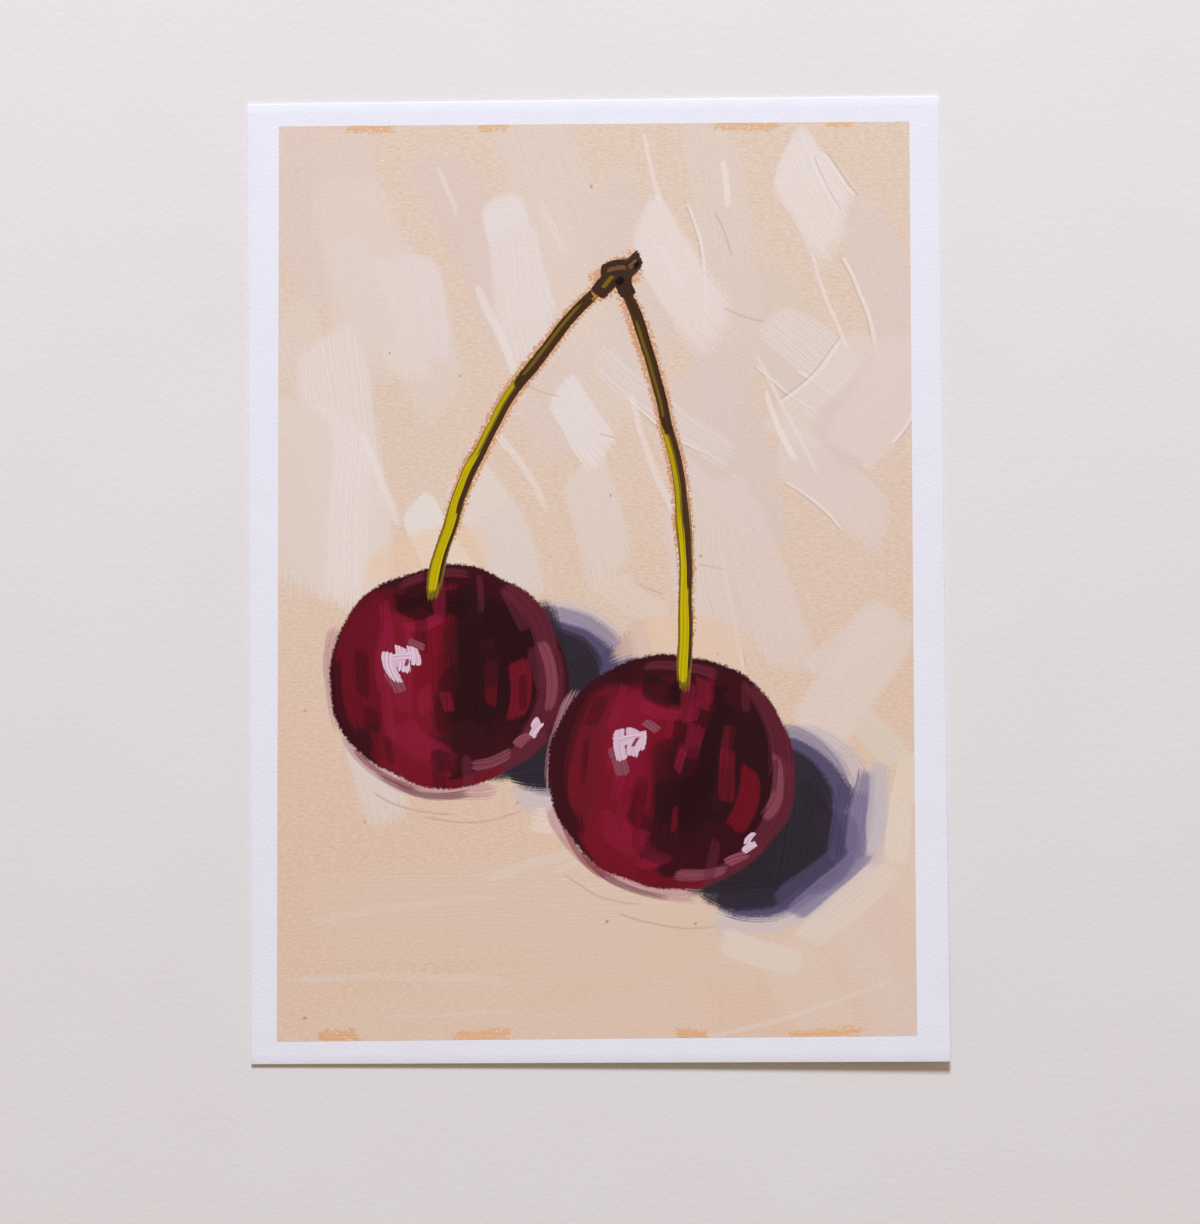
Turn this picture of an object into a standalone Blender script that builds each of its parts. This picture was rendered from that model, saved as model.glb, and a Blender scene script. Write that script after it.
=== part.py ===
"""Art print card: one sheet of stiff white card, 13 x 18 cm, lying face up, with one corner curled off the table.

Frame: +Z up out of the printed face, +Y towards the picture's top, +X to its right.
The origin is on the table, under the middle of the sheet. Lengths are in metres.
"""

import math

import bmesh
import bpy
from mathutils import Matrix, Vector

MM = 0.001

# The cut sheet
CARD_WIDTH = 130 * MM
CARD_HEIGHT = 180 * MM
CARD_THICKNESS = 0.4 * MM

# The curl: the sheet lies flat up to a bend line, and rises along a parabola past it.
# Its heading is measured from straight down the sheet (-Y) towards the right-hand edge (+X).
CURL_HEADING = math.radians(20)
CURL_START = 31.5 * MM  # from the sheet's middle to the bend line, along the heading
CURL_LIFT = 1.5 * MM  # how high the lower right corner stands off the table
CURL_FACETS = 16  # flat strips that stand for the curved part

CARD_COLOUR = (0.80, 0.79, 0.86, 1.0)  # bright white stock with a cool tint
CARD_ROUGHNESS = 0.8


def clear_scene():
    for obj in list(bpy.data.objects):
        bpy.data.objects.remove(obj)


def card_stock():
    material = bpy.data.materials.new("uncoated_card_stock")
    material.use_nodes = True
    shader = material.node_tree.nodes["Principled BSDF"]
    shader.inputs["Base Color"].default_value = CARD_COLOUR
    shader.inputs["Roughness"].default_value = CARD_ROUGHNESS
    shader.inputs["Metallic"].default_value = 0.0
    return material


def curl_direction():
    return Vector((math.sin(CURL_HEADING), -math.cos(CURL_HEADING), 0))


def curl_reach():
    """How far the curl runs from its bend line to the lower right corner, along its heading."""
    corner = Vector((CARD_WIDTH / 2, -CARD_HEIGHT / 2, 0))
    return corner.dot(curl_direction()) - CURL_START


def lift_at(point):
    """How high the curl raises the sheet at a point."""
    past_bend = max(0.0, point.dot(curl_direction()) - CURL_START)
    return CURL_LIFT * (past_bend / curl_reach()) ** 2


def cut_sheet(mesh):
    """A flat slab of card with its underside on the table."""
    size = Matrix.Diagonal((CARD_WIDTH, CARD_HEIGHT, CARD_THICKNESS, 1))
    centred = Matrix.Translation((0, 0, CARD_THICKNESS / 2))
    bmesh.ops.create_cube(mesh, size=1, matrix=centred @ size)


def score_bend_lines(mesh):
    """Cuts the slab across at the bend line and at equal steps past it, so that it can follow the curve."""
    heading = curl_direction()
    for step in range(CURL_FACETS):
        distance = CURL_START + curl_reach() * step / CURL_FACETS
        everything = mesh.verts[:] + mesh.edges[:] + mesh.faces[:]
        bmesh.ops.bisect_plane(
            mesh,
            geom=everything,
            dist=1e-7,
            plane_co=heading * distance,
            plane_no=heading,
        )


def curl_sheet(mesh):
    for vert in mesh.verts:
        vert.co.z += lift_at(vert.co)


def build_card():
    mesh = bmesh.new()
    cut_sheet(mesh)
    score_bend_lines(mesh)
    curl_sheet(mesh)
    bmesh.ops.recalc_face_normals(mesh, faces=mesh.faces)
    data = bpy.data.meshes.new("art_card")
    mesh.to_mesh(data)
    mesh.free()
    card = bpy.data.objects.new("art_card", data)
    card.data.materials.append(card_stock())
    bpy.context.scene.collection.objects.link(card)
    return card


clear_scene()
build_card()
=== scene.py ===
# %% [markdown]
# # An art print card
#
# The object is a small art print: one sheet of heavy white card, cut square, with a painterly
# picture of a pair of cherries printed inside a plain border. It lies face up on a pale table, and
# its lower right corner has curled up a little, as card does when one side has dried more.
#
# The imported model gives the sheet's true size and place. Everything here is built around that
# fixed frame, in metres, with +X to the picture's right, +Y to its top and +Z out of its face.

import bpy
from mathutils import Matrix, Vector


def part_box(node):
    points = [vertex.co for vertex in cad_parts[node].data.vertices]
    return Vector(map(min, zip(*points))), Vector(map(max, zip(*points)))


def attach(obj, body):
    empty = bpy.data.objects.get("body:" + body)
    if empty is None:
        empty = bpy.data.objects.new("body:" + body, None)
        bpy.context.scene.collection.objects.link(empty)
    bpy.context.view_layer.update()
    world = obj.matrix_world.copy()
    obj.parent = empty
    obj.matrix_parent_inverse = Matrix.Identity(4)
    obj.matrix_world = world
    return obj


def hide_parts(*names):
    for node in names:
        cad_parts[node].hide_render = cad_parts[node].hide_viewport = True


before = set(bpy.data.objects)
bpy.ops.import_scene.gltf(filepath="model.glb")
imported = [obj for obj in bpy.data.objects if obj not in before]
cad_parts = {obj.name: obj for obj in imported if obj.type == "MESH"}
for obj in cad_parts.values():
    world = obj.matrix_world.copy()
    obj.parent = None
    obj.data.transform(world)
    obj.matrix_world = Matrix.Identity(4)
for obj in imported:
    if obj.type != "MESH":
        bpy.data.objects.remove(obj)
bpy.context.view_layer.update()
card_low, card_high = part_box("art_card")
print("frame nodes:", sorted(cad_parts))

# %% Modules and units
import math
import random

import bpy
from mathutils import Euler, Vector

MM = 0.001
CARD_WIDTH = card_high.x - card_low.x
CARD_HEIGHT = card_high.y - card_low.y
print(f"card: {CARD_WIDTH / MM:.1f} x {CARD_HEIGHT / MM:.1f} mm")

# %% [markdown]
# ## Two small helpers
#
# Colours are easiest to choose as sRGB hex codes, the way a paint chart gives them, but shaders
# work in linear light, so one function turns one into the other. The second adds a node to any
# tree, with its settings and its inputs in one call. Some nodes, such as Mix, have a socket
# for every kind of data and switch off all but one, so it looks only at the ones in use.


# %% Helpers for colours and nodes
def linear(hex_code):
    """An sRGB hex code as a linear colour with full alpha."""
    channels = [int(hex_code[start : start + 2], 16) / 255 for start in (1, 3, 5)]
    return [c / 12.92 if c <= 0.04045 else ((c + 0.055) / 1.055) ** 2.4 for c in channels] + [1]


def add_node(tree, kind, inputs=(), **settings):
    """Adds a node with its settings. Inputs go in order, or by name in a dictionary.

    Each input is a value to set, a socket to link, or a node whose first output in use is linked.
    """
    node = tree.nodes.new(kind)
    for name, value in settings.items():
        setattr(node, name, value)
    sockets = [socket for socket in node.inputs if socket.enabled]
    if isinstance(inputs, dict):
        named = {socket.name: socket for socket in sockets}
        sockets = [named[name] for name in inputs]
        inputs = inputs.values()
    for socket, value in zip(sockets, inputs):
        if isinstance(value, bpy.types.Node):
            value = next(output for output in value.outputs if output.enabled)
        if isinstance(value, bpy.types.NodeSocket):
            tree.links.new(value, socket)
        else:
            socket.default_value = value
    return node


print("sRGB #808080 is", round(linear("#808080")[0], 3), "in linear light")

# %% [markdown]
# ## The curled sheet
#
# A cut sheet of card could be a cube with its corner pulled up, but card doesn't stretch: it
# bends along one line, and past that line every point rises by the same rule. The height depends
# only on the distance past the bend line, so Geometry Nodes can hold the rule once, and build
# both the card and the film of ink on it, which then follow each other exactly.
#
# The tree starts from a fine grid, spreads it between four corners, lifts it by the rule, and
# gives it a thickness.

# %% Sizes of the sheet and its curl
CARD_THICKNESS = 0.4 * MM
CURL_HEADING = math.radians(20)  # from straight down the sheet towards its right-hand edge
CURL_START = 31.5 * MM  # from the sheet's middle to the bend line
CURL_LIFT = card_high.z - CARD_THICKNESS
CURL_POWER = 2  # the height grows as the square of the distance past the bend
GRID_STEP = 2 * MM
WELD_DISTANCE = 0.001 * MM

curl_way = Vector((math.sin(CURL_HEADING), -math.cos(CURL_HEADING), 0))
curl_reach = Vector((CARD_WIDTH / 2, -CARD_HEIGHT / 2, 0)).dot(curl_way) - CURL_START
print(f"the curl runs {curl_reach / MM:.1f} mm and lifts the corner {CURL_LIFT / MM:.2f} mm")


# %% The Geometry Nodes tree for a curled sheet
def curled_sheet_tree():
    """A sheet spread between four corners, curled by the card's rule, with a thickness."""
    tree = bpy.data.node_groups.new("curled_sheet", "GeometryNodeTree")
    kinds = {
        "NodeSocketVector": ("Top Left", "Top Right", "Bottom Left", "Bottom Right", "Curl Way"),
        "NodeSocketFloat": ("Underside", "Thickness", "Curl Start", "Curl Reach", "Curl Lift"),
        "NodeSocketInt": ("Columns", "Rows"),
        "NodeSocketMaterial": ("Material",),
    }
    for kind, names in kinds.items():
        for name in names:
            tree.interface.new_socket(name, in_out="INPUT", socket_type=kind)
    tree.interface.new_socket("Geometry", in_out="OUTPUT", socket_type="NodeSocketGeometry")
    given = add_node(tree, "NodeGroupInput").outputs

    grid = add_node(tree, "GeometryNodeMeshGrid", (1, 1, given["Columns"], given["Rows"])).outputs
    share = add_node(tree, "ShaderNodeSeparateXYZ", (grid["UV Map"],)).outputs
    bottom = (share["X"], given["Bottom Left"], given["Bottom Right"])
    bottom = add_node(tree, "ShaderNodeMix", bottom, data_type="VECTOR")
    top = (share["X"], given["Top Left"], given["Top Right"])
    top = add_node(tree, "ShaderNodeMix", top, data_type="VECTOR")
    spread = add_node(tree, "ShaderNodeMix", (share["Y"], bottom, top), data_type="VECTOR")

    along = add_node(tree, "ShaderNodeVectorMath", (spread, given["Curl Way"]), operation="DOT_PRODUCT")
    past_bend = add_node(tree, "ShaderNodeMath", (along, given["Curl Start"]), operation="SUBTRACT")
    past_bend = add_node(tree, "ShaderNodeMath", (past_bend, 0), operation="MAXIMUM")
    turned = add_node(tree, "ShaderNodeMath", (past_bend, given["Curl Reach"]), operation="DIVIDE")
    curve = add_node(tree, "ShaderNodeMath", (turned, CURL_POWER), operation="POWER")
    height = (curve, given["Curl Lift"], given["Underside"])
    height = add_node(tree, "ShaderNodeMath", height, operation="MULTIPLY_ADD")
    raised = add_node(tree, "ShaderNodeCombineXYZ", {"Z": height})
    place = add_node(tree, "ShaderNodeVectorMath", (spread, raised), operation="ADD")

    mapped = {"Geometry": grid["Mesh"], "Name": "sheet_map", "Value": grid["UV Map"]}
    store = "GeometryNodeStoreNamedAttribute"
    mapped = add_node(tree, store, mapped, data_type="FLOAT2", domain="CORNER")
    under = add_node(tree, "GeometryNodeSetPosition", {"Geometry": mapped, "Position": place})
    up = add_node(tree, "ShaderNodeCombineXYZ", {"Z": given["Thickness"]})
    growth = {"Mesh": under, "Offset": up, "Offset Scale": 1, "Individual": False}
    front = add_node(tree, "GeometryNodeExtrudeMesh", growth)
    back = add_node(tree, "GeometryNodeFlipFaces", (under,))
    both = add_node(tree, "GeometryNodeJoinGeometry", (front,))
    tree.links.new(back.outputs[0], both.inputs[0])
    weld = {"Geometry": both, "Distance": WELD_DISTANCE}
    closed = add_node(tree, "GeometryNodeMergeByDistance", weld)
    real = add_node(tree, "GeometryNodeRealizeInstances", (closed,))
    dressed = {"Geometry": real, "Material": given["Material"]}
    dressed = add_node(tree, "GeometryNodeSetMaterial", dressed)
    add_node(tree, "NodeGroupOutput", (dressed,))
    return tree


sheet_tree = curled_sheet_tree()
print("curled_sheet has", len(sheet_tree.nodes), "nodes")


# %% One sheet from the tree
def corner_points(left_top, right_top, left_bottom, right_bottom):
    """The four corners of a sheet, each given as its x and y in metres."""
    names = ("Top Left", "Top Right", "Bottom Left", "Bottom Right")
    places = (left_top, right_top, left_bottom, right_bottom)
    return {name: Vector((x, y, 0)) for name, (x, y) in zip(names, places)}


def curled_sheet(name, corners, underside, thickness, material):
    """Runs the tree on four corners, and keeps the result as a plain mesh at the origin."""
    width = (corners["Top Right"] - corners["Top Left"]).length
    height = (corners["Top Left"] - corners["Bottom Left"]).length
    values = {
        **corners,
        "Curl Way": curl_way,
        "Underside": underside,
        "Thickness": thickness,
        "Curl Start": CURL_START,
        "Curl Reach": curl_reach,
        "Curl Lift": CURL_LIFT,
        "Columns": round(width / GRID_STEP) + 1,
        "Rows": round(height / GRID_STEP) + 1,
        "Material": material,
    }
    maker = bpy.data.objects.new(name + "_maker", bpy.data.meshes.new(name + "_maker"))
    bpy.context.scene.collection.objects.link(maker)
    modifier = maker.modifiers.new("curled_sheet", "NODES")
    modifier.node_group = sheet_tree
    for item in sheet_tree.interface.items_tree:
        if item.in_out == "INPUT":
            modifier[item.identifier] = values[item.name]
    ready = maker.evaluated_get(bpy.context.evaluated_depsgraph_get())
    mesh = bpy.data.meshes.new_from_object(ready)
    bpy.data.objects.remove(maker)
    mesh.name = name
    piece = bpy.data.objects.new(name, mesh)
    bpy.context.scene.collection.objects.link(piece)
    print(f"{name}: {len(mesh.polygons)} faces, {width / MM:.1f} x {height / MM:.1f} mm")
    return piece


# %% [markdown]
# ## Uncoated card stock
#
# Heavy art card is cotton or wood pulp, pressed but not coated. It is a bright white that leans
# to blue, because the maker adds brightener, and it scatters light evenly, with hardly any gloss.
# Close up it has a fine tooth, and its pulp clouds very slightly. Noise at those two sizes gives
# both: the fine one as bump, the broad one as a faint change of tone. Real tooth is about 0.2 mm,
# and is drawn at 0.55 mm so that it shows from half a metre.

# %% The card's material
CARD_TOOTH = 0.55 * MM  # drawn coarser than the real 0.2
TOOTH_DEPTH = 0.06 * MM
PULP_CLOUD = 7 * MM
CARD_WHITE = "#eeeef9"
CARD_CLOUD = "#e8e8f3"
CARD_ROUGHNESS = 0.85
CARD_GLOSS = 0.3  # where a smooth plastic would be 0.5


def matt_surface(material, place, colour, tooth, depth, roughness, gloss):
    """Ends a material with a matt shader that has a colour, and paper tooth as bump."""
    tree = material.node_tree
    grain = {"Vector": place, "Scale": 1 / tooth, "Detail": 3, "Roughness": 0.6}
    grain = add_node(tree, "ShaderNodeTexNoise", grain)
    bump = add_node(tree, "ShaderNodeBump", {"Height": grain, "Strength": 1, "Distance": depth})
    finish = {"Base Color": colour, "Normal": bump, "Roughness": roughness, "Specular IOR Level": gloss}
    shader = add_node(tree, "ShaderNodeBsdfPrincipled", finish)
    add_node(tree, "ShaderNodeOutputMaterial", (shader,))


def clouded_paper(name, light, dark, cloud_size, tooth, roughness):
    """Uncoated paper: two close tones in soft clouds, and a fine tooth."""
    material = bpy.data.materials.new(name)
    material.use_nodes = True
    tree = material.node_tree
    tree.nodes.clear()
    place = add_node(tree, "ShaderNodeTexCoord").outputs["Object"]
    cloud = add_node(tree, "ShaderNodeTexNoise", {"Vector": place, "Scale": 1 / cloud_size, "Detail": 4})
    colour = add_node(tree, "ShaderNodeMix", (cloud, linear(light), linear(dark)), data_type="RGBA")
    matt_surface(material, place, colour, tooth, TOOTH_DEPTH, roughness, CARD_GLOSS)
    return material


card_stock = clouded_paper(
    "uncoated_card_stock", CARD_WHITE, CARD_CLOUD, PULP_CLOUD, CARD_TOOTH, CARD_ROUGHNESS
)
print("made", card_stock.name)

# %% [markdown]
# ## The card
#
# The sheet was cut in a guillotine. The blade presses the top of the cut edge over and leaves it
# rounded by about a tenth of a millimetre, and that roll is what catches the light as a bright
# line along the far edge. A Bevel modifier rounds every edge of the closed sheet by that much.

# %% The card sheet
CUT_EDGE_ROLL = 0.12 * MM
ROLL_SEGMENTS = 3
LEAST_CORNER = math.radians(40)  # only the cut edges turn by more than this

half_width, half_height = CARD_WIDTH / 2, CARD_HEIGHT / 2
card_corners = corner_points(
    (-half_width, half_height),
    (half_width, half_height),
    (-half_width, -half_height),
    (half_width, -half_height),
)
card_sheet = curled_sheet("card_sheet", card_corners, card_low.z, CARD_THICKNESS, card_stock)
roll = card_sheet.modifiers.new("rolled_cut_edge", "BEVEL")
roll.width = CUT_EDGE_ROLL
roll.segments = ROLL_SEGMENTS
roll.limit_method = "ANGLE"
roll.angle_limit = LEAST_CORNER
card_sheet.data.shade_smooth()
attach(card_sheet, "root")
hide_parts("art_card")

# %% [markdown]
# ## Printed brush strokes
#
# The picture was painted in oil with stiff flat brushes, then copied onto the card in matt
# pigment ink, so its brush marks are only colour. A picture like that is a pile of strokes, each
# covering part of those below it. Here one node group is one stroke: it takes the colour
# under it, and gives back the colour with the stroke laid over it. Chained, the groups
# paint the picture in order, as a painter does, and stay sharp however close the camera comes.
#
# Inside the group, a place on the sheet is measured along and across the stroke, from -1 to 1.
# A bow bends it. Noise that changes only across the stroke stands for the bristles: it streaks
# the two colours on the brush, tears the outline, and breaks the paint up where it runs dry.
# A second, fine noise, the same for all strokes, is the grain that the paint catches on.

# %% The brush stroke group
STREAK_DRIFT = 0.7  # how many bristles a streak wanders over from end to end
STREAK_CONTRAST = 2.6
BRISTLE_TONES = {"Scale": 1, "Detail": 2, "Roughness": 0.65}


def brush_stroke_group():
    """One stroke of paint laid over the colour under it. Lengths are in millimetres."""
    tree = bpy.data.node_groups.new("brush_stroke", "ShaderNodeTree")
    kinds = {
        "NodeSocketColor": ("Under", "Paint", "Streak"),
        "NodeSocketVector": ("Place", "Middle", "Along", "Across"),
        "NodeSocketFloat": (
            *("Grain", "Bow", "Bristles", "Start", "Ragged", "Frayed"),
            *("Dry", "Cover", "Inner", "Outer"),
        ),
    }
    for kind, names in kinds.items():
        for name in names:
            tree.interface.new_socket(name, in_out="INPUT", socket_type=kind)
    tree.interface.new_socket("Colour", in_out="OUTPUT", socket_type="NodeSocketColor")
    given = add_node(tree, "NodeGroupInput").outputs
    vector, maths = "ShaderNodeVectorMath", "ShaderNodeMath"

    offset = add_node(tree, vector, (given["Place"], given["Middle"]), operation="SUBTRACT")
    along = add_node(tree, vector, (offset, given["Along"]), operation="DOT_PRODUCT")
    straight = add_node(tree, vector, (offset, given["Across"]), operation="DOT_PRODUCT")
    along_squared = add_node(tree, maths, (along, along), operation="MULTIPLY")
    across = add_node(tree, maths, (along_squared, given["Bow"], straight), operation="MULTIPLY_ADD")

    drift = add_node(tree, maths, (along, STREAK_DRIFT, given["Start"]), operation="MULTIPLY_ADD")
    hairs = add_node(tree, maths, (across, given["Bristles"], drift), operation="MULTIPLY_ADD")
    bristles = {"W": hairs, **BRISTLE_TONES}
    bristles = add_node(tree, "ShaderNodeTexNoise", bristles, noise_dimensions="1D")
    off_middle = add_node(tree, maths, (bristles, 0.5), operation="SUBTRACT")

    along_fourth = add_node(tree, maths, (along_squared, along_squared), operation="MULTIPLY")
    ends = add_node(tree, maths, (along_fourth, along_fourth), operation="MULTIPLY")
    across_squared = add_node(tree, maths, (across, across), operation="MULTIPLY")
    outline = add_node(tree, maths, (across_squared, across_squared, ends), operation="MULTIPLY_ADD")
    run_out = add_node(tree, maths, (along, given["Dry"], given["Ragged"]), operation="MULTIPLY_ADD")
    raggedness = add_node(tree, maths, (run_out, given["Ragged"]), operation="MAXIMUM")
    frayed = add_node(tree, maths, (given["Grain"], given["Frayed"], outline), operation="MULTIPLY_ADD")
    torn = add_node(tree, maths, (off_middle, raggedness, frayed), operation="MULTIPLY_ADD")

    fade = {"Value": torn, "From Min": given["Inner"], "From Max": given["Outer"]}
    fade.update({"To Min": given["Cover"], "To Max": 0})
    cover = add_node(tree, "ShaderNodeMapRange", fade, interpolation_type="SMOOTHSTEP", clamp=False)
    streak = add_node(tree, maths, (off_middle, STREAK_CONTRAST, 0.5), operation="MULTIPLY_ADD")
    paint = add_node(tree, "ShaderNodeMix", (streak, given["Paint"], given["Streak"]), data_type="RGBA")
    painted = add_node(tree, "ShaderNodeMix", (cover, given["Under"], paint), data_type="RGBA")
    add_node(tree, "NodeGroupOutput", (painted,))
    return tree


stroke_group = brush_stroke_group()
print("brush_stroke has", len(stroke_group.nodes), "nodes")

# %% [markdown]
# ## A painting as a list of strokes
#
# A stroke says where it starts and ends, how far it bows between them, how wide it is, and
# which two colours are on the brush. The strokes are kept in a list in the order they are laid,
# and the nodes are made from the list later. Places are in millimetres from the sheet's middle.

# %% One stroke
BRISTLE_WIDTH = 0.32  # mm, drawn a little coarser than a hog bristle's 0.2
MOST_SLANT = 0.6  # of an end, as its run over its width
DRYING = 4  # how much faster a stroke breaks up towards its end than along its sides
OFF_HUE = 3  # how many times less one channel strays than all three together
STREAK_SPAN = 900  # bristle widths of noise to start a stroke's streaks in
PAST_END, PAST_SIDE = 1.2, 1.5  # how far torn paint may show, over half the length or width
hand = random.Random(7)
painting = []


def tinted(hex_code, amount):
    """The colour made lighter or darker at random, and a little off in each channel, out of 255."""
    channels = [int(hex_code[start : start + 2], 16) for start in (1, 3, 5)]
    shift = hand.uniform(-amount, amount)
    mixed = [round(c + shift + hand.uniform(-amount, amount) / OFF_HUE) for c in channels]
    mixed = [min(255, max(0, c)) for c in mixed]
    return "#" + "".join(f"{c:02x}" for c in mixed)


def stroke(start, end, width, paints, bow=0, tint=4, cover=1, soft=0.2, ragged=0.5, frayed=0.8, dry=0.6):
    """A stroke from start to end, with two paints on the brush.

    bow is how far its middle swings to the left of the straight line. cover is how solid the paint
    is, and soft how gently its edge fades. ragged and dry say how the bristles tear its sides and its
    far end, and frayed how the grain does. The brush is never held quite square, so the ends slant.
    """
    start, end = Vector(start), Vector(end)
    way = (end - start).normalized()
    side = Vector((-way.y, way.x))
    slanted = way + side * hand.uniform(-MOST_SLANT, MOST_SLANT)
    half_length, half_breadth = (end - start).length / 2, width / 2
    middle = (start + end) / 2 + side * bow
    ahead, beside = half_length * PAST_END, half_breadth * PAST_SIDE + abs(bow)
    return {
        "middle": middle,
        "reach": [abs(w) * ahead + abs(s) * beside for w, s in zip(way, side)],
        "inputs": {
            "Paint": linear(tinted(paints[0], tint)),
            "Streak": linear(tinted(paints[-1], tint)),
            "Middle": (*middle, 0),
            "Along": (*(slanted / half_length), 0),
            "Across": (*(side / half_breadth), 0),
            "Bow": bow / half_breadth,
            "Bristles": half_breadth / BRISTLE_WIDTH,
            "Start": hand.uniform(0, STREAK_SPAN),
            "Ragged": ragged,
            "Frayed": frayed,
            "Dry": dry * DRYING,
            "Cover": cover,
            "Inner": 1 - soft,
            "Outer": 1 + soft,
        },
    }


test_stroke = stroke((0, 0), (20, 10), 5, ("#808080",))
print("a test stroke reaches", [round(v, 1) for v in test_stroke["reach"]], "mm from its middle")

# %% [markdown]
# ## The ground
#
# The ground is a thin warm tan over a raw orange board, with cream dragged over it in
# several directions. Broad strokes come first. Some have a ridge along one side, where the
# brush's edge left more paint, painted pale as a highlight, with a fine dark line of painted
# shadow beside it. Last come a few specks of grit. Along the top and bottom edges the board
# was missed in places.

# %% Scattered strokes
# painted highlight: the light caught on a ridge of paint
RIDGE_HIGHLIGHT = ("#f0e8e5", "#e8ddd7")
RIDGE_PLACE = 0.48  # of the stroke's breadth, out from its middle line
RIDGE_SHARE = (0.3, 0.8)  # of the stroke's half length, each way
RIDGE_WIDTH = (0.5, 1.1)
# fine dark lines; beside a ridge, the ridge's painted shadow
DARK_LINE = ("#c4a895",)
RIDGE_SHADOW_WIDTH = 0.28
RIDGE_SHADOW_STEP = 0.1  # of the ridge's distance, farther out than the ridge
SLIGHT_BOW = 0.08


def scatter(count, middle, spread, heading, length, width, paints, wobble=10, ridged=0, **brush):
    """Strokes scattered round a middle, all roughly one way, with two paints picked for each."""
    for _ in range(count):
        spot = Vector([m + hand.uniform(-s, s) for m, s in zip(middle, spread)])
        angle = math.radians(heading + hand.uniform(-wobble, wobble))
        step = Vector((math.cos(angle), math.sin(angle))) * hand.uniform(*length) / 2
        breadth = hand.uniform(*width)
        picked = (hand.choice(paints), hand.choice(paints))
        bow = step.length * hand.uniform(-SLIGHT_BOW, SLIGHT_BOW)
        painting.append(stroke(spot - step, spot + step, breadth, picked, bow=bow, **brush))
        if hand.random() < ridged:
            side = step.orthogonal().normalized() * breadth * hand.choice((-RIDGE_PLACE, RIDGE_PLACE))
            start = spot + side - step * hand.uniform(*RIDGE_SHARE)
            end = spot + side + step * hand.uniform(*RIDGE_SHARE)
            ridge_width = hand.uniform(*RIDGE_WIDTH)
            painting.append(stroke(start, end, ridge_width, RIDGE_HIGHLIGHT, bow=bow, cover=0.7, dry=1))
            # beside the ridge, a fine dark line of painted shadow
            farther = side * RIDGE_SHADOW_STEP
            ridge_shadow_brush = {"bow": bow, "cover": 0.5, "ragged": 1}
            painting.append(stroke(start + farther, end + farther, RIDGE_SHADOW_WIDTH, DARK_LINE, **ridge_shadow_brush))


print("ridges are", RIDGE_WIDTH, "mm wide")

# %% Strokes of the ground
CREAM = "#e4d5cb"
PALE = "#e8ddd9"
BUFF = "#dfccc0"
ROSE_BUFF = "#dfccc6"
PEACH = "#dfc3ae"
PALE_PEACH = "#e5cfbf"
RAW_BOARD = ("#e0a468", "#e2b98e")
GRIT = ("#b98468", "#c58f78")
BOARD_EDGE = 85.4  # mm above and below the middle
BOTTOM_SLOPE = 0.4
TOP_BARE_WIDTH, BOTTOM_BARE_WIDTH = 2.4, 3

# the upper half, dragged down in thin veils
scatter(
    11, middle=(-10, 54), spread=(48, 28), heading=-72, length=(30, 46), width=(9, 15),
    paints=(BUFF, ROSE_BUFF, CREAM), cover=0.65, soft=0.7, dry=1,
)
# the right-hand side, some with a ridge
scatter(
    8, middle=(38, 30), spread=(18, 44), heading=-76, length=(30, 50), width=(9, 15),
    paints=(ROSE_BUFF, CREAM, BUFF), cover=0.7, soft=0.6, ridged=0.5,
)
# pale upright strokes on the left
scatter(
    5, middle=(-48, 0), spread=(9, 34), heading=-88, length=(28, 44), width=(9, 14),
    paints=(PALE, PALE, CREAM), cover=0.95, soft=0.4, dry=1.2, ragged=1.3,
)
# pale strokes at the top
scatter(
    5, middle=(-26, 62), spread=(26, 14), heading=-78, length=(16, 28), width=(7, 12),
    paints=(PALE, CREAM, PALE), cover=0.95, soft=0.45, dry=1.4, ragged=1.3,
)
scatter(
    3, middle=(34, 66), spread=(18, 10), heading=-62, length=(16, 28), width=(8, 13),
    paints=(PALE, CREAM), cover=0.85, soft=0.4, dry=1.4, ragged=1.4, ridged=0.7,
)
# a fan of thick pale strokes
scatter(
    6, middle=(28, 30), spread=(18, 14), heading=-34, length=(18, 34), width=(5, 10),
    paints=(PALE, CREAM, BUFF), cover=0.85, soft=0.3, dry=1.3, ragged=1.4, ridged=0.9,
)
# crossing strokes at the right edge
scatter(
    5, middle=(48, 8), spread=(8, 30), heading=52, length=(16, 28), width=(8, 13),
    paints=(CREAM, ROSE_BUFF), cover=0.7, soft=0.5, ridged=0.6,
)
# pale strokes between the stems
scatter(
    5, middle=(-14, 18), spread=(16, 14), heading=-66, length=(14, 26), width=(7, 11),
    paints=(PALE, CREAM), cover=0.9, soft=0.4, dry=1.4, ragged=1.5,
)
# broad peach strokes along the bottom
scatter(
    10, middle=(0, -72), spread=(52, 14), heading=4, length=(44, 80), width=(9, 18),
    paints=(PEACH, PALE_PEACH), cover=0.5, soft=0.8,
)
scatter(
    5, middle=(46, -64), spread=(12, 18), heading=-60, length=(20, 34), width=(9, 14),
    paints=(BUFF, PALE_PEACH), cover=0.5, soft=0.8,
)
# pale ridges with no stroke beside them, each a painted highlight
scatter(
    12, middle=(6, 50), spread=(50, 32), heading=-70, length=(8, 26), width=(0.5, 1.6),
    paints=RIDGE_HIGHLIGHT, cover=0.5, soft=0.6, dry=1, wobble=14,
)
scatter(
    7, middle=(-6, -66), spread=(44, 16), heading=8, length=(20, 46), width=(0.6, 2),
    paints=(PALE_PEACH, CREAM), cover=0.5, soft=0.7, dry=1,
)
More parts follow.
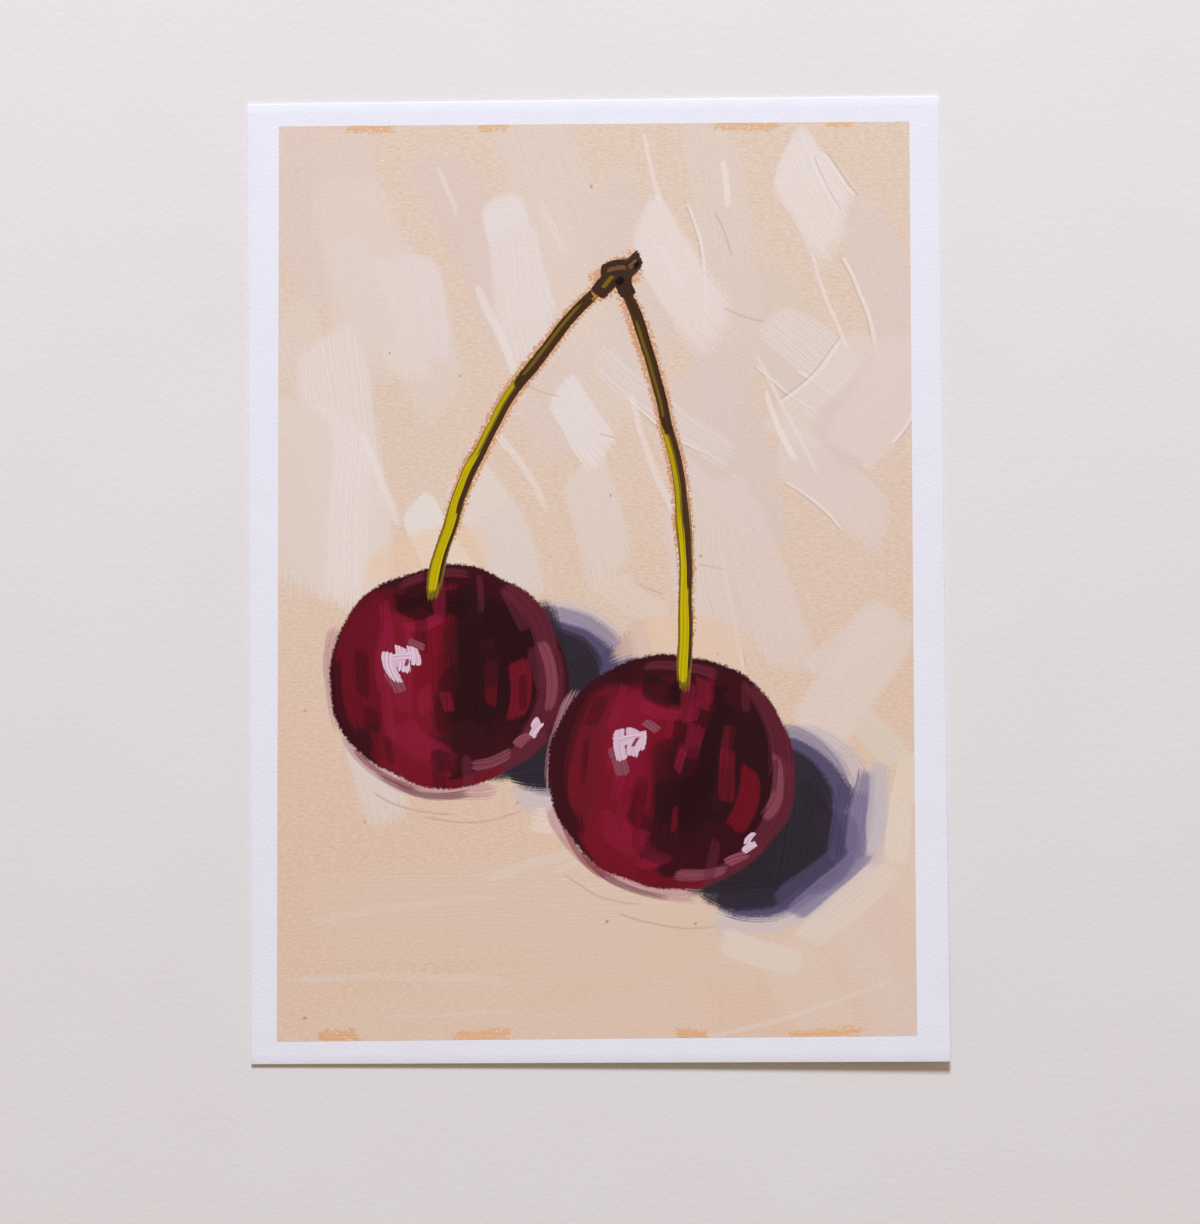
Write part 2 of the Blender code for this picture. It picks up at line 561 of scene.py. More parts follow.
# fine dark lines, and grit
scatter(
    8, middle=(20, 10), spread=(40, 60), heading=-40, length=(3, 9), width=(0.3, 0.45),
    paints=DARK_LINE, cover=0.45, wobble=30,
)
scatter(
    16, middle=(0, 0), spread=(56, 82), heading=0, length=(0.4, 0.9), width=(0.35, 0.6),
    paints=GRIT, cover=0.7, wobble=90,
)
# bare board along both edges: where each patch starts, and its length
for x, length in ((-46, 9), (-21, 5), (23, 12), (44, 5)):
    ends = (x, BOARD_EDGE), (x + length, BOARD_EDGE)
    painting.append(stroke(*ends, TOP_BARE_WIDTH, RAW_BOARD, frayed=9, ragged=2.5, cover=0.7))
for x, length in ((-52, 7), (-27, 10), (14, 6), (35, 13)):
    ends = (x, -BOARD_EDGE), (x + length, -BOARD_EDGE + BOTTOM_SLOPE)
    painting.append(stroke(*ends, BOTTOM_BARE_WIDTH, RAW_BOARD, frayed=9, ragged=3, cover=0.8))
print(len(painting), "strokes of ground")

# %% [markdown]
# ## Shadows, fruit and stems
#
# The light in the picture comes from the upper left. Each cherry throws its shadow to the
# lower right, laid from the outside in: lilac where it fades, then violet, then a cold black
# against the fruit. The fruit is a glossy dark ball: crimson where light gets into it, near
# black where it turns from the light, a dusty red rim where the table shines back into it,
# and a few thick pale dabs where the window is reflected. One plan of strokes, in units of the
# radius, serves both cherries. It is turned for each, and every stroke is laid a little
# differently, so the two don't match.

# %% Where the cherries are, and how a plan is laid
LEFT_CHERRY = {"middle": Vector((-28, -18)), "radius": 21.5, "turn": math.radians(6)}
RIGHT_CHERRY = {"middle": Vector((14, -36)), "radius": 22.5, "turn": math.radians(-8)}
SPUR = Vector((4, 56))


def plan_place(cherry, x, y):
    """A place in a cherry's plan, whose edge is at 1 from its middle, on the sheet."""
    turned = Vector((x, y, 0))
    turned.rotate(Euler((0, 0, cherry["turn"])))
    return cherry["middle"] + turned.to_2d() * cherry["radius"]


def lay_plan(cherry, plan, shake=0.03, **brush):
    """The strokes of a plan: each is its paints, its ends, and its width and bow, in radii."""
    strokes = []
    radius = cherry["radius"]
    for paints, start, end, width, bow in plan:
        ends = []
        for spot in (start, end):
            ends.append(plan_place(cherry, *(v + hand.uniform(-shake, shake) for v in spot)))
        strokes.append(stroke(*ends, width * radius, paints, bow=bow * radius, **brush))
    return strokes


print("the fruit is", round((LEFT_CHERRY["middle"] - SPUR).length), "mm from the spur on the left")

# %% Shadows
LILAC = ("#c4b8c3", "#d2c5c8")
SLATE = ("#6f6585", "#8a7ea0")
VIOLET = ("#4b4360", "#5a4e72")
COLD_BLACK = ("#2a242b", "#332b36")
CUT_IN = ("#e9dacd", "#e2cfc0")
SHADOW_MIDDLE = Vector((0.66, -0.3))  # in radii, from the middle of the fruit
SHADOW_FLATNESS = 0.84  # its height over its width


def shadow_arc(paints, out, first, last, width):
    """A stroke that follows the shadow's edge, between two directions from its middle, in degrees."""
    ends = []
    for angle in (math.radians(first), math.radians(last)):
        ends.append(SHADOW_MIDDLE + Vector((math.cos(angle), math.sin(angle) * SHADOW_FLATNESS)) * out)
    mean_out = out * (1 + SHADOW_FLATNESS) / 2
    bow = mean_out * (1 - math.cos(math.radians(last - first) / 2))
    return paints, *ends, width, bow


SHADOW_EDGE = (
    shadow_arc(LILAC, 0.96, 76, 24, 0.3),
    shadow_arc(LILAC, 1.02, 36, -14, 0.32),
    shadow_arc(LILAC, 1.0, -2, -54, 0.34),
    shadow_arc(LILAC, 0.96, -44, -100, 0.3),
    shadow_arc(SLATE, 0.84, 80, 20, 0.3),
    shadow_arc(SLATE, 0.88, 28, -36, 0.32),
    shadow_arc(SLATE, 0.85, -28, -96, 0.32),
)
SHADOW_BODY = (
    shadow_arc(VIOLET, 0.72, 82, 10, 0.36),
    shadow_arc(VIOLET, 0.76, 20, -50, 0.36),
    shadow_arc(VIOLET, 0.73, -36, -106, 0.36),
    shadow_arc(COLD_BLACK, 0.54, 86, 6, 0.46),
    shadow_arc(COLD_BLACK, 0.62, 24, -60, 0.5),
    shadow_arc(COLD_BLACK, 0.6, -36, -118, 0.5),
    (COLD_BLACK, (0.66, 0.5), (0.78, -0.8), 0.6, 0.06),
    (COLD_BLACK, (0.2, -0.7), (1.05, -0.5), 0.5, -0.05),
    (COLD_BLACK, (1.04, 0.06), (1.08, -0.74), 0.4, 0.04),
)
SHADOW_CUTS = (
    (VIOLET, (0.96, -0.98), (1.44, -0.5), 0.18, 0),
    (VIOLET, (1.4, -0.56), (1.44, 0.1), 0.16, 0),
    (SLATE, (1.14, -1.02), (1.64, -0.42), 0.18, 0),
    (SLATE, (1.6, -0.5), (1.58, 0.2), 0.18, 0),
    (LILAC, (1.76, -0.36), (1.7, 0.28), 0.16, 0),
    (CUT_IN, (1.24, -1.26), (1.9, -0.56), 0.24, 0),
    (CUT_IN, (1.94, -0.5), (1.88, 0.4), 0.18, 0),
    (CUT_IN, (1.86, 0.36), (1.5, 0.7), 0.26, 0.02),
    (CUT_IN, (1.24, -1.42), (0.6, -1.34), 0.22, 0.02),
)


def lay_shadow(cherry):
    """The shadow's edge, its body, and the ground cut back into it where it was laid too wide."""
    fading = {"cover": 0.7, "soft": 0.8, "ragged": 1.4, "dry": 0.9, "tint": 8}
    painting.extend(lay_plan(cherry, SHADOW_EDGE, shake=0.05, **fading))
    painting.extend(lay_plan(cherry, SHADOW_BODY, shake=0.04, cover=0.95, soft=0.5, ragged=0.9))
    painting.extend(lay_plan(cherry, SHADOW_CUTS, cover=0.75, soft=0.6, ragged=1.6, tint=7))


for cherry in (LEFT_CHERRY, RIGHT_CHERRY):
    lay_shadow(cherry)
print(len(painting), "strokes with the shadows")

# %% The fruit's colours and its plan
NEAR_BLACK = ("#260d12", "#300f15")
MAROON = ("#43111b", "#330f16")
CRIMSON = ("#821526", "#681120")
ROSE_RED = ("#981c3e", "#7d172c")
MAUVE_RED = ("#6d2939", "#5a2130")
DUSTY_ROSE = ("#96505f", "#783849")
SHINE = ("#e2d2e0", "#cf9db5")
DRY_PINK = ("#c49aa3", "#a5596d")
WARM_GLOW = ("#ecc8a6", "#e6c7ae")

FRUIT_HALO = (
    (WARM_GLOW, (-0.55, 0.98), (0.5, 1.0), 0.34, 0.14),
    (DRY_PINK, (-0.94, 0.5), (-0.98, -0.3), 0.12, -0.05),
    (DRY_PINK, (-0.95, -0.38), (-0.44, -0.94), 0.12, -0.07),
    (DRY_PINK, (-0.5, -0.9), (0.3, -0.99), 0.12, -0.05),
    (MAUVE_RED, (-0.62, -0.8), (0.1, -1.02), 0.06, -0.08),
    (ROSE_RED, (-0.86, -0.54), (-0.4, -0.95), 0.05, -0.06),
    (DARK_LINE, (-0.75, -0.95), (-0.1, -1.16), 0.02, -0.06),
    (DARK_LINE, (-0.3, -1.2), (0.5, -1.24), 0.02, -0.05),
)
FRUIT_MASSES = (
    (MAROON, (-0.75, 0.65), (-0.78, -0.6), 0.5, -0.15),
    (MAROON, (-0.5, 0.85), (0.6, 0.78), 0.4, 0.15),
    (CRIMSON, (-0.5, 0.66), (-0.62, -0.45), 0.46, -0.12),
    (CRIMSON, (-0.25, 0.64), (-0.3, -0.7), 0.46, -0.08),
    (ROSE_RED, (-0.36, 0.6), (-0.46, -0.05), 0.36, -0.06),
    (CRIMSON, (0, 0.66), (-0.04, -0.2), 0.42, -0.02),
    (NEAR_BLACK, (0.24, 0.62), (0.14, -0.6), 0.5, 0.06),
    (NEAR_BLACK, (0.44, 0.6), (0.5, -0.5), 0.5, 0.12),
    (NEAR_BLACK, (0.08, 0.2), (0, -0.45), 0.34, -0.02),
    (MAROON, (-0.15, -0.35), (0.05, -0.85), 0.4, 0),
    (MAROON, (0.3, -0.45), (0.55, -0.75), 0.36, 0.05),
    (CRIMSON, (-0.62, -0.46), (-0.1, -0.88), 0.3, -0.08),
    (ROSE_RED, (-0.45, -0.42), (-0.05, -0.72), 0.22, -0.05),
)
FRUIT_EDGES = (
    (MAROON, (-0.94, 0.3), (-0.74, -0.62), 0.16, -0.14),
    (MAUVE_RED, (0.58, 0.74), (0.92, 0.05), 0.2, 0.1),
    (MAUVE_RED, (0.9, 0.2), (0.7, -0.62), 0.22, 0.1),
    (MAUVE_RED, (0.78, -0.5), (0.2, -0.92), 0.22, 0.1),
    (CRIMSON, (0.4, -0.86), (-0.45, -0.88), 0.16, 0.1),
    (CRIMSON, (0.62, 0.1), (0.56, -0.4), 0.18, 0.04),
    (DUSTY_ROSE, (0.83, 0.22), (0.82, -0.34), 0.1, 0.06),
    (DUSTY_ROSE, (0.5, -0.74), (0.1, -0.82), 0.09, 0.02),
    (NEAR_BLACK, (-0.36, 0.7), (0.06, 0.66), 0.2, -0.04),
    (NEAR_BLACK, (-0.16, 0.66), (0.34, 0.72), 0.18, -0.04),
    (ROSE_RED, (-0.34, 0.5), (0, 0.5), 0.1, -0.03),
    (MAUVE_RED, (-0.3, 0.86), (0.3, 0.86), 0.08, 0.04),
)
FRUIT_LIGHTS = (
    (DUSTY_ROSE, (-0.5, 0.12), (-0.4, -0.08), 0.12, 0),
    (DUSTY_ROSE, (-0.3, 0.36), (-0.16, 0.3), 0.07, 0),
    (SHINE, (-0.47, 0.28), (-0.44, 0.02), 0.1, -0.02),
    (SHINE, (-0.39, 0.32), (-0.36, 0.08), 0.11, 0.01),
    (SHINE, (-0.3, 0.3), (-0.27, 0.14), 0.1, 0.01),
    (SHINE, (-0.48, 0.2), (-0.28, 0.24), 0.08, 0.01),
    (DUSTY_ROSE, (-0.36, 0.15), (-0.32, 0.22), 0.03, 0),
    (SHINE, (0.66, -0.6), (0.76, -0.5), 0.06, 0.01),
    (SHINE, (0.7, -0.52), (0.74, -0.44), 0.05, 0.01),
    (DUSTY_ROSE, (0.54, -0.7), (0.68, -0.6), 0.08, 0.01),
)
DAB_COUNT = 34
DAB_LENGTH = (0.16, 0.42)
DAB_WIDTH = (0.05, 0.14)
DAB_RANGE = 0.88  # radii from the middle
DAB_LEAN = 0.35  # how much a dab leans with the side of the ball
RIM_START = 0.72
SHADE_START, SHADE_SLANT = 0.08, 0.2  # where the near black begins, and how it slants
RIM_PAINTS = {"shade": (MAUVE_RED, MAROON), "light": (MAROON, CRIMSON)}
INNER_PAINTS = {
    "shade": (NEAR_BLACK, NEAR_BLACK, MAROON, MAROON, CRIMSON),
    "light": (CRIMSON, ROSE_RED, ROSE_RED, MAROON),
}


def fruit_dabs():
    """Small dabs that break the masses up. Each runs round the ball and takes its place's colour."""
    plan = []
    for _ in range(DAB_COUNT):
        out = DAB_RANGE * math.sqrt(hand.random())
        angle = hand.uniform(-math.pi, math.pi)
        x, y = out * math.cos(angle), out * math.sin(angle)
        lighting = "shade" if x - SHADE_SLANT * y > SHADE_START else "light"
        paints = hand.choice((RIM_PAINTS if out > RIM_START else INNER_PAINTS)[lighting])
        half_step = Vector((-DAB_LEAN * x * y, 1 - x * x)).normalized() * hand.uniform(*DAB_LENGTH) / 2
        place = Vector((x, y))
        plan.append((paints, place - half_step, place + half_step, hand.uniform(*DAB_WIDTH), 0))
    return plan


print("small dabs on each cherry:", DAB_COUNT)

# %% The fruit
FRUIT_REACH = 1.15  # radii from the middle that the uneven outline stays within


def lay_fruit(cherry):
    """A cherry: what shows outside it, then its own strokes, which its outline will trim."""
    painting.extend(lay_plan(cherry, FRUIT_HALO, cover=0.6, soft=0.6, ragged=3, dry=1.5, tint=8))
    inside = lay_plan(cherry, FRUIT_MASSES, shake=0.05, soft=0.7, ragged=0.9, cover=0.9)
    inside += lay_plan(cherry, FRUIT_MASSES, shake=0.12, soft=0.6, ragged=1.6, cover=0.6, tint=7)
    inside += lay_plan(cherry, FRUIT_EDGES, soft=0.6, ragged=1.2, cover=0.8)
    inside += lay_plan(cherry, fruit_dabs(), soft=0.8, ragged=1.2, cover=0.5, tint=6)
    inside += lay_plan(cherry, FRUIT_LIGHTS, shake=0.02, soft=0.25, ragged=1.2, frayed=1.5)
    reach = [cherry["radius"] * FRUIT_REACH] * 2
    painting.append({**cherry, "reach": reach, "inside": inside})


for cherry in (LEFT_CHERRY, RIGHT_CHERRY):
    lay_fruit(cherry)
print(len(painting), "things in the painting with the fruit")

# %% Stems
RAW_ORANGE = ("#dc9860", "#c98445")
OLIVE = ("#86701a", "#6b5418")
STEM_YELLOW = ("#d2bc02", "#ac9602")
STEM_BROWN = ("#54381f", "#35211c")
SPUR_BROWN = ("#32211d", "#4a3124")
BARK = ("#80603f", "#5d3b24")
OLD_BARK = ("#1d1212",)
STEM_LAYERS = (
    (RAW_ORANGE, 0.16, 1, 3.6, 0, {"frayed": 6.5, "ragged": 0.4, "cover": 0.75}),
    (OLIVE, 0, 0.5, 2.7, 0, {"ragged": 1}),
    (OLIVE, 0.42, 1, 2.2, 0, {}),
    (STEM_YELLOW, 0.02, 0.4, 1.6, 0.2, {"dry": 1.2}),
    (STEM_YELLOW, 0.36, 0.74, 0.7, 0.6, {"cover": 0.8, "dry": 1}),
    (STEM_BROWN, 0.05, 0.3, 0.5, -0.9, {"dry": 1}),
    (STEM_BROWN, 0.24, 0.78, 1, -0.6, {"dry": 0.4}),
    (STEM_BROWN, 0.62, 1, 2.1, -0.1, {"ragged": 1}),
    (OLIVE, 0.66, 0.9, 0.6, 0.3, {"dry": 1, "cover": 0.8}),
)


def lay_stem(start, end, bow):
    """From the fruit to the spur. Each layer is its paints, where it runs, its width and its side step."""
    straight = end - start
    side = Vector((-straight.y, straight.x)).normalized()
    for paints, first, last, width, step, brush in STEM_LAYERS:
        ends = []
        for share in (first, last):
            swing = bow * (1 - (2 * share - 1) ** 2) + step
            ends.append(start + straight * share + side * swing)
        painting.append(stroke(*ends, width, paints, bow=bow * (last - first) ** 2, **brush))


lay_stem(plan_place(LEFT_CHERRY, -0.06, 0.66), SPUR + Vector((-1, 0)), bow=6)
lay_stem(plan_place(RIGHT_CHERRY, 0, 0.66), SPUR + Vector((1, 0)), bow=-5)
print(len(painting), "things in the painting with the stems")

# %% The spur
SPUR_STROKES = (
    (RAW_ORANGE, (-4.6, -2), (4.8, 3.4), 6, {"frayed": 7, "cover": 0.7}),
    (SPUR_BROWN, (-3.6, -3), (-0.2, 1), 3.4, {}),
    (SPUR_BROWN, (2.6, -3.2), (0.6, 1.2), 3.2, {}),
    (SPUR_BROWN, (-2.6, 0.4), (3.4, 1.8), 4.6, {"ragged": 0.8, "bow": 0.6}),
    (SPUR_BROWN, (1.8, 1.4), (4.8, 4.6), 3, {"ragged": 0.8}),
    (OLIVE, (-2.4, -1.6), (-0.6, 0.8), 0.8, {"dry": 1}),
    (BARK, (-1.4, 1.8), (2, 2.4), 0.8, {"dry": 1, "bow": 0.3}),
    (BARK, (2.6, 2.4), (4, 4), 0.8, {"dry": 1}),
    (OLD_BARK, (0.2, -0.8), (1.4, 0.4), 1.4, {}),
    (OLD_BARK, (3.6, 2.6), (4.6, 3.6), 0.9, {}),
)
for paints, start, end, width, brush in SPUR_STROKES:
    painting.append(stroke(SPUR + Vector(start), SPUR + Vector(end), width, paints, **brush))
print(len(painting), "things in the whole painting")

# %% [markdown]
# ## From the list to the ink
#
# A shader works through all its nodes at every point, so one material with every stroke
# in it would be slow: most strokes are nowhere near the point. The picture is divided into
# tiles instead, and each tile's ink holds only the strokes that reach it. The strokes meet
# across the tiles' edges, because both sides compute the same stroke at the same place.
#
# Two things belong to the whole picture. A slow noise shifts every place by up to a millimetre, so
# that no stroke is ruler straight. A noise stretched sideways gives the board's fine wrinkles.

# %% What every tile's ink starts from
TAN = ("#d5bdaa", "#eed9c9")  # in the wrinkles' hollows, and on their crests
PEACH_TAN = ("#d6b8a2", "#eed3be")
GROUND_PATCH = 26 * MM
GROUND_FADE = 75  # mm from the middle to where the ground is all tan, or all peach
GRAIN = 0.5 * MM
HAND_SHAKE = (1.6, 1.6, 0)  # mm, from one side to the other
SHAKE_SIZE = 13 * MM
EDGE_WANDER = 14 * MM
WRINKLE = (1 * MM, 0.36 * MM, 1)
WRINKLE_DEPTH = 0.1  # how much they darken the paint that lies over them


def blank_canvas(name):
    """A material whose picture is still only the ground, with what each stroke reads."""
    material = bpy.data.materials.new(name)
    material.use_nodes = True
    tree = material.node_tree
    tree.nodes.clear()
    noise, vector, maths = "ShaderNodeTexNoise", "ShaderNodeVectorMath", "ShaderNodeMath"
    metres = add_node(tree, "ShaderNodeTexCoord").outputs["Object"]
    patches = add_node(tree, noise, {"Vector": metres, "Scale": 1 / GROUND_PATCH, "Detail": 3})
    grain = add_node(tree, noise, {"Vector": metres, "Scale": 1 / GRAIN, "Detail": 2})
    grain = add_node(tree, maths, (grain, 0.5), operation="SUBTRACT")
    wander = add_node(tree, noise, {"Vector": metres, "Scale": 1 / EDGE_WANDER, "Detail": 1})
    wander = add_node(tree, maths, (wander, 0.5), operation="SUBTRACT")
    shake = add_node(tree, noise, {"Vector": metres, "Scale": 1 / SHAKE_SIZE, "Detail": 1}).outputs["Color"]
    shake = add_node(tree, vector, (shake, (0.5, 0.5, 0.5)), operation="SUBTRACT")
    stretched = {"Vector": metres, "Scale": WRINKLE}
    stretched = add_node(tree, "ShaderNodeMapping", stretched, vector_type="TEXTURE")
    wrinkles = add_node(tree, noise, {"Vector": stretched, "Scale": 1, "Detail": 2, "Distortion": 0.4})
    shading = (wrinkles, WRINKLE_DEPTH, 1 - WRINKLE_DEPTH / 2)
    shading = add_node(tree, maths, shading, operation="MULTIPLY_ADD")

    in_mm = add_node(tree, vector, {"Vector": metres, "Scale": 1 / MM}, operation="SCALE")
    place = add_node(tree, vector, (shake, HAND_SHAKE, in_mm), operation="MULTIPLY_ADD")
    level = add_node(tree, vector, (in_mm, (0, 1 / GROUND_FADE, 0)), operation="DOT_PRODUCT")
    share = add_node(tree, maths, (patches, level), operation="ADD")
    low = add_node(tree, "ShaderNodeMix", (wrinkles, *map(linear, PEACH_TAN)), data_type="RGBA")
    high = add_node(tree, "ShaderNodeMix", (wrinkles, *map(linear, TAN)), data_type="RGBA")
    ground = add_node(tree, "ShaderNodeMix", (share, low, high), data_type="RGBA")
    canvas = {"material": material, "tree": tree, "metres": metres, "place": place, "grain": grain}
    canvas.update({"wander": wander, "patches": patches, "shading": shading, "colour": ground})
    return canvas


print("wrinkles are", WRINKLE[0] / MM, "by", WRINKLE[1] / MM, "mm")

# %% Laying strokes and fruit on a tile
TILE_MARGIN = 3.5  # mm, more than half a face of the sheet and the shake of the hand
EDGE_UNEVEN = 0.11  # how much of its radius a cherry's outline wanders
EDGE_TORN = 0.05
CHERRY_WIDER, CHERRY_LOWER = 1.03, 0.98
EDGE_FADE = (0.985, 1.01)


def touches(item, low, high):
    """Whether a thing in the painting may show between two corners, in millimetres."""
    around = zip(item["middle"], item["reach"], low, high)
    return all(middle + reach > first and middle - reach < last for middle, reach, first, last in around)


def add_stroke(canvas, item):
    """Lays one stroke's group over the colour so far."""
    shared = {"Under": canvas["colour"], "Place": canvas["place"], "Grain": canvas["grain"]}
    inputs = {**shared, **item["inputs"]}
    canvas["colour"] = add_node(canvas["tree"], "ShaderNodeGroup", inputs, node_tree=stroke_group)


def add_fruit(canvas, item, low, high):
    """Paints a cherry's strokes by themselves, then lays them on the picture through its outline."""
    tree, behind = canvas["tree"], canvas["colour"]
    vector, maths = "ShaderNodeVectorMath", "ShaderNodeMath"
    radius = item["radius"]
    size = (1 / (radius * CHERRY_WIDER), 1 / (radius * CHERRY_LOWER), 0)
    offset = add_node(tree, vector, (canvas["place"], (*item["middle"], 0)), operation="SUBTRACT")
    local = add_node(tree, vector, (offset, size), operation="MULTIPLY")
    distance = add_node(tree, vector, (local,), operation="LENGTH")
    uneven = add_node(tree, maths, (canvas["wander"], EDGE_UNEVEN, distance), operation="MULTIPLY_ADD")
    torn = add_node(tree, maths, (canvas["grain"], EDGE_TORN, uneven), operation="MULTIPLY_ADD")
    mask = (torn, *EDGE_FADE, 1, 0)
    mask = add_node(tree, "ShaderNodeMapRange", mask, interpolation_type="SMOOTHSTEP", clamp=False)
    flesh = (canvas["patches"], linear(MAROON[0]), linear(MAROON[1]))
    canvas["colour"] = add_node(tree, "ShaderNodeMix", flesh, data_type="RGBA")
    for inner in item["inside"]:
        if touches(inner, low, high):
            add_stroke(canvas, inner)
    canvas["colour"] = add_node(tree, "ShaderNodeMix", (mask, behind, canvas["colour"]), data_type="RGBA")


print("each tile takes the strokes within", TILE_MARGIN, "mm of it")

# %% The ink for one tile
INK_TOOTH_DEPTH = 0.04 * MM
INK_ROUGHNESS = 0.75
INK_GLOSS = 0.06  # the pigment has sunk in, so dark paint stays deep


def ink_for_tile(name, low, high):
    """Matt pigment ink with the part of the painting between two corners, in millimetres."""
    canvas = blank_canvas(name)
    for item in painting:
        if touches(item, low, high):
            if "inside" in item:
                add_fruit(canvas, item, low, high)
            else:
                add_stroke(canvas, item)
    shaded = {"Vector": canvas["colour"], "Scale": canvas["shading"]}
    shaded = add_node(canvas["tree"], "ShaderNodeVectorMath", shaded, operation="SCALE")
    finish = (CARD_TOOTH, INK_TOOTH_DEPTH, INK_ROUGHNESS, INK_GLOSS)
    matt_surface(canvas["material"], canvas["metres"], shaded, *finish)
    return canvas["material"]


print("the ink's tooth is", round(INK_TOOTH_DEPTH / MM, 2), "mm deep")

# %% [markdown]
# ## The printed picture
#
# The ink lies on the card as a film, and the border is what it leaves bare. The printer fed the
# sheet a little askew, so the border is a touch wider at some corners than at others. The film
# is one more curled sheet from the same tree, and each of its faces takes its tile's ink.

# %% Where the picture lies
BORDER = {  # mm across, and up or down
    "left_top": (6.0, 4.2),
    "right_top": (5.6, 4.7),
    "left_bottom": (4.8, 4.2),
    "right_bottom": (6.1, 4.8),
}


def inset(corner, side, end):
    """A corner of the picture: the card's corner, moved in by the border's width each way."""
    across, down = BORDER[corner]
    return side * (half_width - across * MM), end * (half_height - down * MM)


picture_corners = corner_points(
    inset("left_top", -1, 1),
    inset("right_top", 1, 1),
    inset("left_bottom", -1, -1),
    inset("right_bottom", 1, -1),
)
picture_low = [min(point[i] for point in picture_corners.values()) / MM for i in (0, 1)]
picture_high = [max(point[i] for point in picture_corners.values()) / MM for i in (0, 1)]
print("the picture runs from", picture_low, "to", picture_high, "mm")

# %% The inks of all the tiles
TILES = (4, 6)  # across and up

tile_size = [(high - low) / count for low, high, count in zip(picture_low, picture_high, TILES)]
inks = []
for row in range(TILES[1]):
    for column in range(TILES[0]):
        tile_low = [low + size * at for low, size, at in zip(picture_low, tile_size, (column, row))]
        outer_low = [value - TILE_MARGIN for value in tile_low]
        outer_high = [value + size + TILE_MARGIN for value, size in zip(tile_low, tile_size)]
        inks.append(ink_for_tile(f"matt_pigment_ink_{row + 1}_{column + 1}", outer_low, outer_high))
laid = sum(1 for ink in inks for node in ink.node_tree.nodes if node.type == "GROUP")
print(f"{len(inks)} tiles hold {laid} strokes, about {laid // len(inks)} each")

# %% The film of ink
INK_SUNK = 0.02 * MM
INK_PROUD = 0.02 * MM

card_face = card_low.z + CARD_THICKNESS
ink_depth = INK_SUNK + INK_PROUD
printed_picture = curled_sheet("printed_picture", picture_corners, card_face - INK_SUNK, ink_depth, inks[0])
printed_picture.data.materials.clear()
for ink in inks:
    printed_picture.data.materials.append(ink)
for face in printed_picture.data.polygons:
    at = [(face.center[i] / MM - picture_low[i]) / tile_size[i] for i in (0, 1)]
    column, row = (min(max(int(share), 0), count - 1) for share, count in zip(at, TILES))
    face.material_index = row * TILES[0] + column
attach(printed_picture, "root")

# %% [markdown]
# ## A map for the picture
#
# An export turns the strokes into an image, and needs a flat map of the film to lay it on. The
# sheet's own map already runs straight from corner to corner, but the face and the hidden
# underside share it. So the face keeps nearly all of it, and the rest moves to a strip at one side.

# %% The picture's map
FACE_SHARE = 0.97
STRIP_START = 0.985
FACING_UP = 0.5  # least upward part of a face's normal

picture_map = printed_picture.data.uv_layers["sheet_map"]
for face in printed_picture.data.polygons:
    shown = face.normal.z > FACING_UP
    for corner in face.loop_indices:
        place = picture_map.uv[corner].vector
        place.x = place.x * FACE_SHARE if shown else STRIP_START + place.x * (1 - STRIP_START)
picture_map.name = "OFBake"
print("maps of the picture:", [layer.name for layer in printed_picture.data.uv_layers])

# %% [markdown]
# ## The table, the light and the camera
#
# The card lies on a pale table under one large soft light beyond its top edge, with weak
# light from everywhere else. The light's slant gives the thin warm shadow under the curled
# corner, and the bright line along the top edge. The camera looks almost straight down.

# %% The table
TABLE_SIZE = 5
TABLE_WHITE = "#e9e5e6"
TABLE_CLOUD = "#e5e0e1"
TABLE_CLOUD_SIZE = 30 * MM
TABLE_TOOTH = 1.1 * MM
TABLE_ROUGHNESS = 0.9

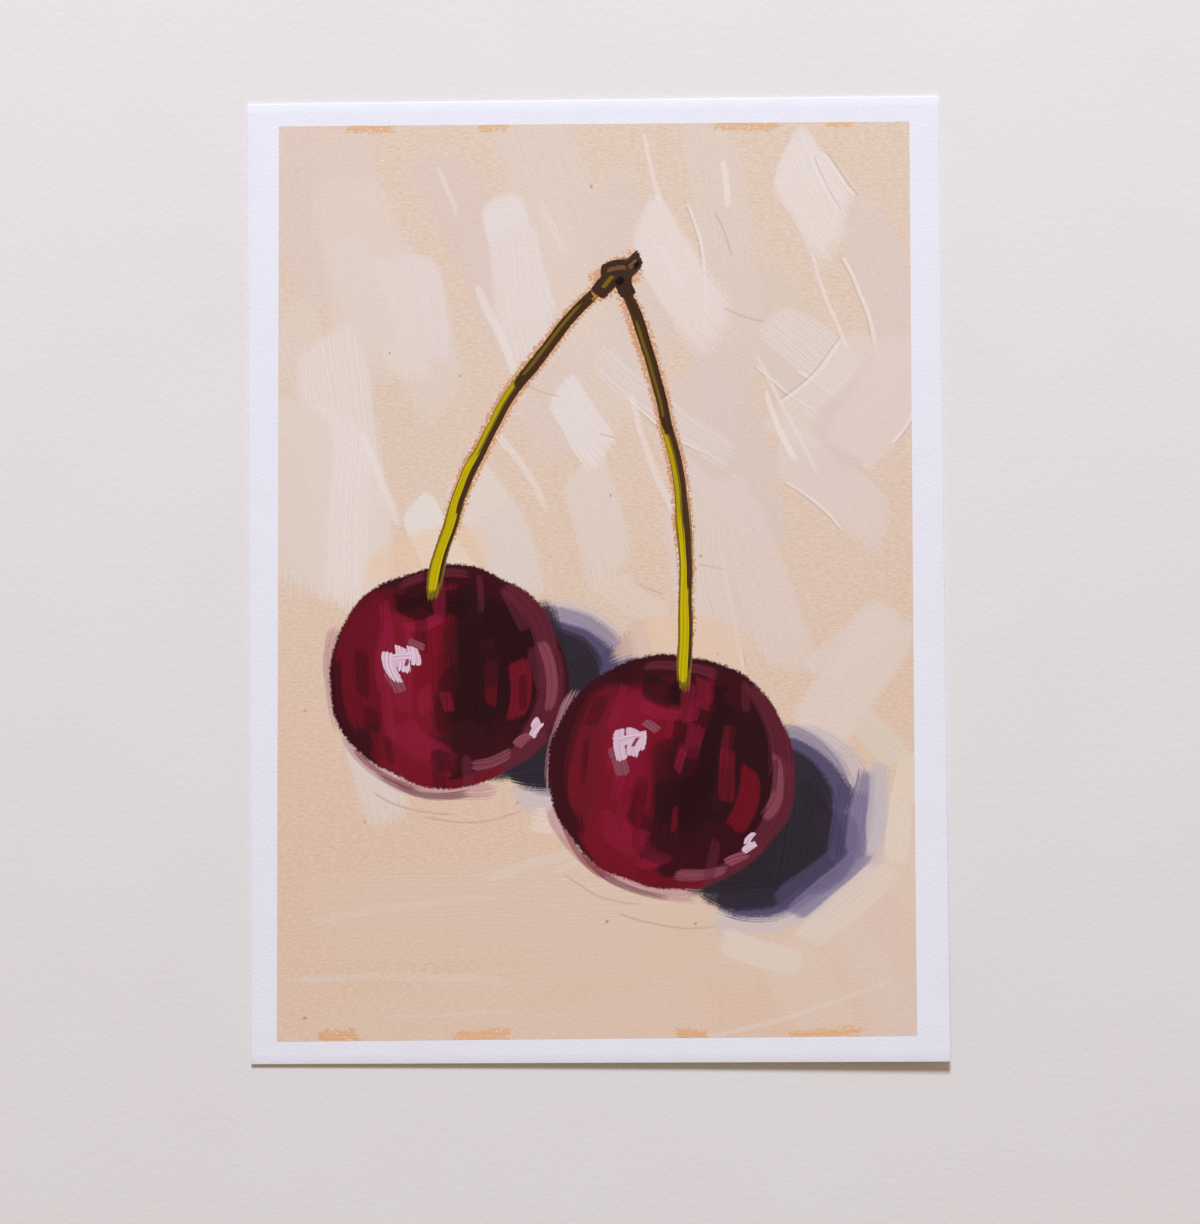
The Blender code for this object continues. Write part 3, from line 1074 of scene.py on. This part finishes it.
table_mesh = bpy.data.meshes.new("table")
reach = TABLE_SIZE / 2
corners = [(-reach, -reach, 0), (reach, -reach, 0), (reach, reach, 0), (-reach, reach, 0)]
table_mesh.from_pydata(corners, [], [(0, 1, 2, 3)])
table_mesh.materials.append(
    clouded_paper(
        "pale_table_paper", TABLE_WHITE, TABLE_CLOUD, TABLE_CLOUD_SIZE, TABLE_TOOTH, TABLE_ROUGHNESS
    )
)
table = bpy.data.objects.new("table", table_mesh)
bpy.context.scene.collection.objects.link(table)
print("table:", TABLE_SIZE, "m square")

# %% The light
LIGHT_PLACE = Vector((0, 1.4, 1.2))
LIGHT_SIZE = 0.5
LIGHT_POWER = 39
LIGHT_COLOUR = (0.8, 0.87, 1)  # daylight
SKY_COLOUR = (1, 0.78, 0.52, 1)  # the room's warm walls
SKY_STRENGTH = 0.34

lamp_data = bpy.data.lights.new("soft_window", "AREA")
lamp_data.shape = "DISK"
lamp_data.size = LIGHT_SIZE
lamp_data.energy = LIGHT_POWER
lamp_data.color = LIGHT_COLOUR
lamp = bpy.data.objects.new("soft_window", lamp_data)
lamp.location = LIGHT_PLACE
lamp.rotation_euler = (-LIGHT_PLACE).to_track_quat("-Z", "Y").to_euler()
bpy.context.scene.collection.objects.link(lamp)

world = bpy.data.worlds.new("room")
world.use_nodes = True
sky = world.node_tree.nodes["Background"]
sky.inputs["Color"].default_value = SKY_COLOUR
sky.inputs["Strength"].default_value = SKY_STRENGTH
bpy.context.scene.world = world
print("lamp:", round(LIGHT_PLACE.length, 2), "m from the card")

# %% The camera
CAMERA_PLACE = Vector((0.0109, -0.0198, 0.5084))
CAMERA_TURN = (math.radians(1.53), math.radians(1.16), math.radians(-0.45))
CAMERA_LENS = 80
SENSOR_WIDTH = 36

camera_data = bpy.data.cameras.new("camera")
camera_data.lens = CAMERA_LENS
camera_data.sensor_width = SENSOR_WIDTH
camera = bpy.data.objects.new("camera", camera_data)
camera.location = CAMERA_PLACE
camera.rotation_euler = CAMERA_TURN
bpy.context.scene.collection.objects.link(camera)
bpy.context.scene.camera = camera
bpy.context.scene.view_settings.view_transform = "Standard"
print("camera:", round(CAMERA_PLACE.z, 3), "m above the table")
